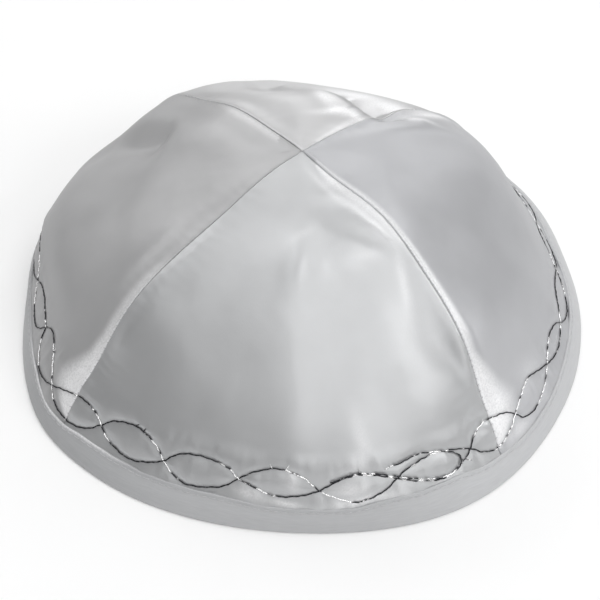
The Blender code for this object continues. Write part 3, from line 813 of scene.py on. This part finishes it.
def tube(path, outward, radius_at, sides):
    """The rings of points of a tube along a path. radius_at gives each ring's radii."""
    ahead = np.gradient(path, axis=0)
    ahead /= np.linalg.norm(ahead, axis=1, keepdims=True)
    across = np.cross(ahead, outward)
    across /= np.linalg.norm(across, axis=1, keepdims=True)
    up = np.cross(across, ahead)
    turn = np.linspace(0, 2 * math.pi, sides, endpoint=False)
    radii = radius_at(turn)
    rings = path[:, None, :] + radii[..., None] * (
        np.cos(turn)[None, :, None] * across[:, None, :] + np.sin(turn)[None, :, None] * up[:, None, :]
    )
    return rings


def tube_faces(count, sides, closed):
    last = count if closed else count - 1
    i, j = np.meshgrid(np.arange(last), np.arange(sides), indexing="ij")
    next_i, next_j = (i + 1) % count, (j + 1) % sides
    quads = np.stack([i * sides + j, i * sides + next_j, next_i * sides + next_j, next_i * sides + j], -1)
    faces = quads.reshape(-1, 4).tolist()
    if not closed:
        faces.append(list(range(sides - 1, -1, -1)))
        faces.append(list(range((count - 1) * sides, count * sides)))
    return faces


def outward_at(azimuth, down):
    """The direction square to the cloth, away from it."""
    step = math.radians(0.2)
    across = layer(azimuth + step, down, 0.0) - layer(azimuth - step, down, 0.0)
    along = layer(azimuth, down + step, 0.0) - layer(azimuth, down - step, 0.0)
    normal = np.cross(along, across)
    return normal / np.linalg.norm(normal, axis=-1, keepdims=True)


def on_cloth(azimuth, height, lift=0.0):
    """Points on the finished cloth's surface, with its outward directions."""
    down = down_of(azimuth, height)
    out = outward_at(azimuth, down)
    return layer(azimuth, down, 0.0) + out * (fine_relief(azimuth, down) + lift)[:, None], out


def twisted(run):
    """Radii round each ring of a thread of two twisted plies."""

    def radius_at(turn):
        lobes = np.abs(np.cos(turn[None, :] - math.pi * run[:, None] / THREAD_TWIST_PITCH))
        return THREAD_PLY_RADIUS + (THREAD_RADIUS - THREAD_PLY_RADIUS) * lobes

    return radius_at


def add_threads(name, lines, material):
    """The embroidery: each line runs in stitches that dip into the cloth."""
    all_points, all_faces, all_shares, count = [], [], [], 0
    for number, (azimuth, height) in enumerate(lines):
        closed = number < 2
        path, out = on_cloth(azimuth, height)
        run = np.concatenate([[0], np.cumsum(np.linalg.norm(np.diff(path, axis=0), axis=1))])
        stitch = np.abs(np.sin(math.pi * run / STITCH_LENGTH)) ** 0.6
        lift = THREAD_RADIUS + STITCH_DIP * (stitch - 0.9)
        if number == 2:
            lift = lift + 0.00022
        sway = 0.00006 * np.sin(2 * math.pi * run / 0.0031) + 0.00005 * np.sin(2 * math.pi * run / 0.0047 + 1)
        ahead = np.gradient(path, axis=0)
        ahead /= np.linalg.norm(ahead, axis=1, keepdims=True)
        path = path + out * lift[:, None] + np.cross(out, ahead) * sway[:, None]
        rings = tube(path, out, twisted(run), 8)
        faces = tube_faces(len(path), 8, closed)
        # Painted glints: a share of white colour where the thread runs square to one fixed direction, dimmed in
        # one stretch at the front
        turned = ahead @ np.array(GLINT_WAY) / GLINT_SPREAD
        middle, half, most = GLINT_DIMMED
        around = np.mod(azimuth - middle + math.pi, 2 * math.pi) - math.pi
        shown = 1 - most * np.exp(-((around / half) ** 2))
        all_shares.append(np.repeat(np.exp(-(turned**2)) * shown, 8))
        all_points.append(rings.reshape(-1, 3))
        all_faces += [[v + count for v in face] for face in faces]
        count += len(all_points[-1])
    piece = add_object(name, np.concatenate(all_points), all_faces, material)
    add_share(piece, "painted_glint", np.concatenate(all_shares))
    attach(piece, "root")
    return piece


def add_short_threads(name, ends, lifts, radius, material, arch=0.0):
    """Short bits of thread, each from one place to another, standing off the cloth at their ends."""
    share = np.linspace(0, 1, 7)
    all_points, all_faces = [], []
    starts, stops = np.array(ends)[:, 0], np.array(ends)[:, 1]
    places = starts[:, None] * (1 - share[None, :, None]) + stops[:, None] * share[None, :, None]
    path, out = on_cloth(np.radians(places[..., 0].ravel()), places[..., 1].ravel() / 1000)
    lift = np.array(lifts)[:, 0:1] * (1 - share) + np.array(lifts)[:, 1:2] * share
    lift = lift + arch * np.sin(math.pi * share)
    path = path + out * lift.reshape(-1, 1)
    path, out = path.reshape(len(ends), 7, 3), out.reshape(len(ends), 7, 3)
    for k in range(len(ends)):
        rings = tube(path[k], out[k], lambda turn: np.full((7, len(turn)), radius), 6)
        all_points.append(rings.reshape(-1, 3))
        all_faces += [[v + 42 * k for v in face] for face in tube_faces(7, 6, False)]
    piece = add_object(name, np.concatenate(all_points), all_faces, material)
    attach(piece, "root")
    return piece


def add_strays(material):
    ends = [((s.az, s.mm), (s.to_az, s.to_mm)) for s in STRAYS]
    lifts = [(0.0002, s.lift_mm / 1000) for s in STRAYS]
    piece = add_short_threads("thread_strays", ends, lifts, 0.00012, material)
    # Painted glints on the loose ends, the same share all along
    add_share(piece, "painted_glint", np.full(len(piece.data.vertices), 0.7))
    return piece


def add_seam_stitches(material):
    """The small stitches that show across the seams."""
    ends, lifts = [], []
    for number in range(4):
        seam = math.degrees(FIRST_SEAM) + 90 * number
        for height in np.arange(0.0095, 0.084, SEAM_STITCH):
            down = math.pi / 2 - height / RIM_RADIUS
            half = math.degrees(0.00042 / (0.075 * math.sin(down)))
            mm = height * 1000
            ends.append(((seam - half, mm - 0.25), (seam + half, mm + 0.25)))
            lifts.append((-0.00012, -0.00012))
    return add_short_threads("seam_stitches", ends, lifts, SEWING_RADIUS, material, 0.0002)


def add_tape_stitches(material):
    """The stitches that hold the tape, along its upper edge."""
    count = int(2 * math.pi * RIM_RADIUS / TAPE_STITCH)
    step = 2 * math.pi / count
    all_points, all_faces = [], []
    share = np.linspace(0, 1, 7)
    for k in range(count):
        azimuth = FIRST_SEAM + (k + 0.14 + 0.72 * share) * step
        height = tape_edge(azimuth) - TAPE_STITCH_BELOW
        down = down_of(azimuth, height)
        out = outward_at(azimuth, down)
        lift = CLEARANCE + 0.00034 - 0.00002 + 0.00010 * np.sin(math.pi * share)
        path = layer(azimuth, down, lift)
        rings = tube(path, out, lambda turn: np.full((7, len(turn)), SEWING_RADIUS), 6)
        all_points.append(rings.reshape(-1, 3))
        all_faces += [[v + 42 * k for v in face] for face in tube_faces(7, 6, False)]
    piece = add_object("tape_stitches", np.concatenate(all_points), all_faces, material)
    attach(piece, "root")
    return piece


def node_of(tree, kind, **settings):
    node = tree.nodes.new(kind)
    for name, value in settings.items():
        setattr(node, name, value)
    return node


def new_material(name):
    material = bpy.data.materials.new(name)
    material.use_nodes = True
    tree = material.node_tree
    return material, tree, tree.nodes["Principled BSDF"]


def satin(name, colour, metallic, roughness):
    """Satin: smooth floats of thread down the gore, which shine across their length."""
    material, tree, shader = new_material(name)
    link = tree.links.new
    place = node_of(tree, "ShaderNodeTexCoord")
    cloud = node_of(tree, "ShaderNodeTexNoise")
    cloud.inputs["Scale"].default_value = 40
    cloud.inputs["Detail"].default_value = 3
    link(place.outputs["Object"], cloud.inputs["Vector"])
    shade = node_of(tree, "ShaderNodeValToRGB")
    shade.color_ramp.elements[0].position = 0.3
    shade.color_ramp.elements[0].color = (*[c * 0.95 for c in colour], 1)
    shade.color_ramp.elements[1].position = 0.7
    shade.color_ramp.elements[1].color = (*[min(1, c * 1.05) for c in colour], 1)
    link(cloud.outputs["Fac"], shade.inputs["Fac"])
    # Crushed satin and painted highlight: this share mixes the colour towards pale, broken into a grain by noise
    crush_and_highlight = node_of(tree, "ShaderNodeAttribute", attribute_name="crush_and_highlight")
    grain = node_of(tree, "ShaderNodeTexNoise")
    grain.inputs["Scale"].default_value = 1800
    grain.inputs["Detail"].default_value = 3
    grain.inputs["Roughness"].default_value = 0.7
    link(place.outputs["Object"], grain.inputs["Vector"])
    uneven = node_of(tree, "ShaderNodeMapRange")
    uneven.inputs["From Min"].default_value = 0.36
    uneven.inputs["From Max"].default_value = 0.64
    uneven.inputs["To Min"].default_value = 0.72
    uneven.inputs["To Max"].default_value = 1.14
    link(grain.outputs["Fac"], uneven.inputs["Value"])
    amount = node_of(tree, "ShaderNodeMath", operation="MULTIPLY", use_clamp=True)
    link(crush_and_highlight.outputs["Fac"], amount.inputs[0])
    link(uneven.outputs["Result"], amount.inputs[1])
    pale = node_of(tree, "ShaderNodeMix", data_type="RGBA")
    link(amount.outputs["Value"], pale.inputs["Factor"])
    link(shade.outputs["Color"], pale.inputs["A"])
    pale.inputs["B"].default_value = (0.93, 0.93, 0.94, 1)
    link(pale.outputs["Result"], shader.inputs["Base Color"])
    stretch = node_of(tree, "ShaderNodeMapping")
    stretch.inputs["Scale"].default_value = (1400, 220, 1)
    link(place.outputs["UV"], stretch.inputs["Vector"])
    floats = node_of(tree, "ShaderNodeTexNoise")
    floats.inputs["Scale"].default_value = 1
    floats.inputs["Detail"].default_value = 2
    link(stretch.outputs["Vector"], floats.inputs["Vector"])
    rough = node_of(tree, "ShaderNodeMath", operation="MULTIPLY_ADD")
    link(grain.outputs["Fac"], rough.inputs[0])
    link(crush_and_highlight.outputs["Fac"], rough.inputs[1])
    link(floats.outputs["Fac"], rough.inputs[2])
    bump = node_of(tree, "ShaderNodeBump")
    bump.inputs["Strength"].default_value = 0.3
    bump.inputs["Distance"].default_value = 0.00008
    link(rough.outputs["Value"], bump.inputs["Height"])
    link(bump.outputs["Normal"], shader.inputs["Normal"])
    tangent = node_of(tree, "ShaderNodeTangent", direction_type="UV_MAP", uv_map="UVMap")
    link(tangent.outputs["Tangent"], shader.inputs["Tangent"])
    shader.inputs["Roughness"].default_value = roughness
    shader.inputs["Metallic"].default_value = metallic
    shader.inputs["Anisotropic"].default_value = 0.7
    shader.inputs["Anisotropic Rotation"].default_value = 0.25
    shader.inputs["Specular IOR Level"].default_value = 0.25
    shader.inputs["Specular Tint"].default_value = (0.7, 0.7, 0.7, 1)
    return material


def tape_material():
    """Matte woven tape with fine ribs along its length, its colour scaled by painted light going round and
    lightened by a painted highlight along the upper edge.
    """
    material, tree, shader = new_material("binding_tape")
    link = tree.links.new
    place = node_of(tree, "ShaderNodeTexCoord")
    stretch = node_of(tree, "ShaderNodeMapping")
    stretch.inputs["Scale"].default_value = (40, 600, 1)
    link(place.outputs["UV"], stretch.inputs["Vector"])
    ribs = node_of(tree, "ShaderNodeTexNoise")
    ribs.inputs["Scale"].default_value = 1
    ribs.inputs["Detail"].default_value = 2
    link(stretch.outputs["Vector"], ribs.inputs["Vector"])
    shade = node_of(tree, "ShaderNodeValToRGB")
    shade.color_ramp.elements[0].color = (0.44, 0.445, 0.455, 1)
    shade.color_ramp.elements[1].color = (0.48, 0.485, 0.495, 1)
    shade.color_ramp.elements[0].position = 0.3
    shade.color_ramp.elements[1].position = 0.7
    link(ribs.outputs["Fac"], shade.inputs["Fac"])
    # Painted light and shade: the colour is scaled going round, darker on the left and lighter on the right
    painted_light = node_of(tree, "ShaderNodeAttribute", attribute_name="shade")
    painted_light_colour = node_of(tree, "ShaderNodeVectorMath", operation="SCALE")
    link(shade.outputs["Color"], painted_light_colour.inputs["Vector"])
    link(painted_light.outputs["Fac"], painted_light_colour.inputs["Scale"])
    # Painted highlight along the upper edge, broken into a grain by noise
    edge_highlight = node_of(tree, "ShaderNodeAttribute", attribute_name="edge_highlight")
    grain = node_of(tree, "ShaderNodeTexNoise")
    grain.inputs["Scale"].default_value = 1500
    link(place.outputs["Object"], grain.inputs["Vector"])
    amount = node_of(tree, "ShaderNodeMath", operation="MULTIPLY", use_clamp=True)
    link(edge_highlight.outputs["Fac"], amount.inputs[0])
    link(grain.outputs["Fac"], amount.inputs[1])
    pale = node_of(tree, "ShaderNodeMix", data_type="RGBA")
    link(amount.outputs["Value"], pale.inputs["Factor"])
    link(painted_light_colour.outputs["Vector"], pale.inputs["A"])
    pale.inputs["B"].default_value = (0.93, 0.93, 0.94, 1)
    link(pale.outputs["Result"], shader.inputs["Base Color"])
    bump = node_of(tree, "ShaderNodeBump")
    bump.inputs["Strength"].default_value = 0.4
    bump.inputs["Distance"].default_value = 0.00008
    link(ribs.outputs["Fac"], bump.inputs["Height"])
    link(bump.outputs["Normal"], shader.inputs["Normal"])
    shader.inputs["Roughness"].default_value = 0.6
    shader.inputs["Sheen Weight"].default_value = 0.15
    return material


def sewing_material():
    """Plain white sewing thread."""
    material, tree, shader = new_material("sewing_thread")
    place = node_of(tree, "ShaderNodeTexCoord")
    wave = node_of(tree, "ShaderNodeTexNoise")
    wave.inputs["Scale"].default_value = 2500
    tree.links.new(place.outputs["Object"], wave.inputs["Vector"])
    shade = node_of(tree, "ShaderNodeValToRGB")
    shade.color_ramp.elements[0].color = (0.42, 0.42, 0.43, 1)
    shade.color_ramp.elements[1].color = (0.62, 0.62, 0.63, 1)
    tree.links.new(wave.outputs["Fac"], shade.inputs["Fac"])
    tree.links.new(shade.outputs["Color"], shader.inputs["Base Color"])
    shader.inputs["Roughness"].default_value = 0.55
    return material


def thread_material():
    """Metallic thread: a dark mirror with painted glints in its colour, white where the thread runs square to one
    fixed direction and broken up by noise.
    """
    material, tree, shader = new_material("silver_thread")
    link = tree.links.new
    place = node_of(tree, "ShaderNodeTexCoord")
    # Noise breaks the painted glints up into runs
    glint_breakup = node_of(tree, "ShaderNodeTexNoise")
    glint_breakup.inputs["Scale"].default_value = 520
    glint_breakup.inputs["Detail"].default_value = 2
    link(place.outputs["Object"], glint_breakup.inputs["Vector"])
    # Painted glints: the share of white colour
    painted_glint = node_of(tree, "ShaderNodeAttribute", attribute_name="painted_glint")
    open_glint = node_of(tree, "ShaderNodeMath", operation="MULTIPLY_ADD")
    link(painted_glint.outputs["Fac"], open_glint.inputs[0])
    open_glint.inputs[1].default_value = 0.33
    link(glint_breakup.outputs["Fac"], open_glint.inputs[2])
    shade = node_of(tree, "ShaderNodeValToRGB")
    shade.color_ramp.elements[0].position = 0.66
    shade.color_ramp.elements[0].color = (0.045, 0.045, 0.05, 1)
    shade.color_ramp.elements[1].position = 0.78
    shade.color_ramp.elements[1].color = (0.98, 0.98, 0.98, 1)
    link(open_glint.outputs["Value"], shade.inputs["Fac"])
    link(shade.outputs["Color"], shader.inputs["Base Color"])
    shader.inputs["Metallic"].default_value = 1.0
    shader.inputs["Roughness"].default_value = 0.22
    return material


def floor_material():
    material, tree, shader = new_material("pale_floor")
    place = node_of(tree, "ShaderNodeTexCoord")
    grain = node_of(tree, "ShaderNodeTexNoise")
    grain.inputs["Scale"].default_value = 30
    tree.links.new(place.outputs["Object"], grain.inputs["Vector"])
    shade = node_of(tree, "ShaderNodeValToRGB")
    shade.color_ramp.elements[0].color = (0.93, 0.93, 0.93, 1)
    shade.color_ramp.elements[1].color = (0.95, 0.95, 0.95, 1)
    tree.links.new(grain.outputs["Fac"], shade.inputs["Fac"])
    tree.links.new(shade.outputs["Color"], shader.inputs["Base Color"])
    shader.inputs["Roughness"].default_value = 0.9
    shader.inputs["Specular IOR Level"].default_value = 0.1
    return material


# The camera stands where the photograph was taken from
IMAGE_PIXELS = 600
CAMERA_ELEVATION = math.radians(45.8)
CAMERA_DISTANCE = 0.4271
CAMERA_ROLL = math.radians(1.58)
FOCAL_PIXELS = 1331.8
ORIGIN_PIXEL = (303.0, 297.6)
SENSOR_WIDTH = 36.0


def add_camera():
    data = bpy.data.cameras.new("camera")
    camera = bpy.data.objects.new("camera", data)
    bpy.context.scene.collection.objects.link(camera)
    back = Vector((0, -math.cos(CAMERA_ELEVATION), math.sin(CAMERA_ELEVATION)))
    right = Vector((1, 0, 0))
    up = back.cross(right)
    turn = Matrix.Rotation(CAMERA_ROLL, 3, back)
    axes = Matrix((turn @ right, turn @ up, back)).transposed()
    camera.matrix_world = Matrix.Translation(back * CAMERA_DISTANCE) @ axes.to_4x4()
    data.sensor_width = SENSOR_WIDTH
    data.lens = FOCAL_PIXELS / IMAGE_PIXELS * SENSOR_WIDTH
    data.shift_x = (IMAGE_PIXELS / 2 - ORIGIN_PIXEL[0]) / IMAGE_PIXELS
    data.shift_y = (ORIGIN_PIXEL[1] - IMAGE_PIXELS / 2) / IMAGE_PIXELS
    data.clip_start = 0.01
    data.clip_end = 50
    bpy.context.scene.camera = camera


# A dome of softboxes: azimuth and elevation in degrees, and power in W
Light = namedtuple("Light", "az elevation power")
LIGHTS = (
    Light(0, 88, 1.61),
    Light(0, 60, 0.91),
    Light(40, 60, 1.14),
    Light(80, 60, 0.82),
    Light(120, 60, 0.90),
    Light(160, 60, 0.58),
    Light(200, 60, 0.72),
    Light(240, 60, 1.10),
    Light(280, 60, 0.91),
    Light(320, 60, 0.89),
    Light(0, 36, 0.27),
    Light(60, 36, 0.79),
    Light(90, 36, 0.61),
    Light(120, 36, 1.69),
    Light(150, 36, 0.86),
    Light(240, 36, 0.39),
    Light(270, 36, 1.13),
    Light(300, 36, 1.05),
    Light(330, 36, 2.27),
    Light(0, 14, 1.24),
    Light(60, 14, 0.52),
    Light(90, 14, 1.23),
    Light(120, 14, 0.40),
    Light(300, 14, 0.64),
)
LIGHT_DISTANCE = 1.3
LIGHT_SIZE = 0.40
SKY_STRENGTH = 0.23


def add_lights():
    for number, light in enumerate(LIGHTS):
        data = bpy.data.lights.new("softbox_%02d" % number, "AREA")
        data.size = LIGHT_SIZE
        data.energy = light.power
        lamp = bpy.data.objects.new(data.name, data)
        turn, rise = math.radians(light.az), math.radians(light.elevation)
        away = Vector((math.cos(turn) * math.cos(rise), math.sin(turn) * math.cos(rise), math.sin(rise)))
        lamp.location = away * LIGHT_DISTANCE
        lamp.rotation_mode = "QUATERNION"
        lamp.rotation_quaternion = (-away).to_track_quat("-Z", "Y")
        bpy.context.scene.collection.objects.link(lamp)


def add_floor_and_sky():
    mesh = bpy.data.meshes.new("floor")
    half = 3.0
    mesh.from_pydata([(-half, -half, 0), (half, -half, 0), (half, half, 0), (-half, half, 0)], [], [(0, 1, 2, 3)])
    mesh.materials.append(floor_material())
    floor = bpy.data.objects.new("floor", mesh)
    bpy.context.scene.collection.objects.link(floor)
    world = bpy.data.worlds.new("sky")
    world.use_nodes = True
    background = world.node_tree.nodes["Background"]
    background.inputs["Color"].default_value = (1, 1, 1, 1)
    background.inputs["Strength"].default_value = SKY_STRENGTH
    bpy.context.scene.world = world
    bpy.context.scene.view_settings.view_transform = "Standard"


def main():
    add_camera()
    for gore in GORES:
        add_gore(gore, satin(gore.name + "_satin", gore.colour, gore.metallic, gore.roughness))
    add_binding(tape_material())
    silver = thread_material()
    add_threads("thread_waves", LINES, silver)
    add_strays(silver)
    sewing = sewing_material()
    add_seam_stitches(sewing)
    add_tape_stitches(sewing)
    add_lights()
    add_floor_and_sky()


main()
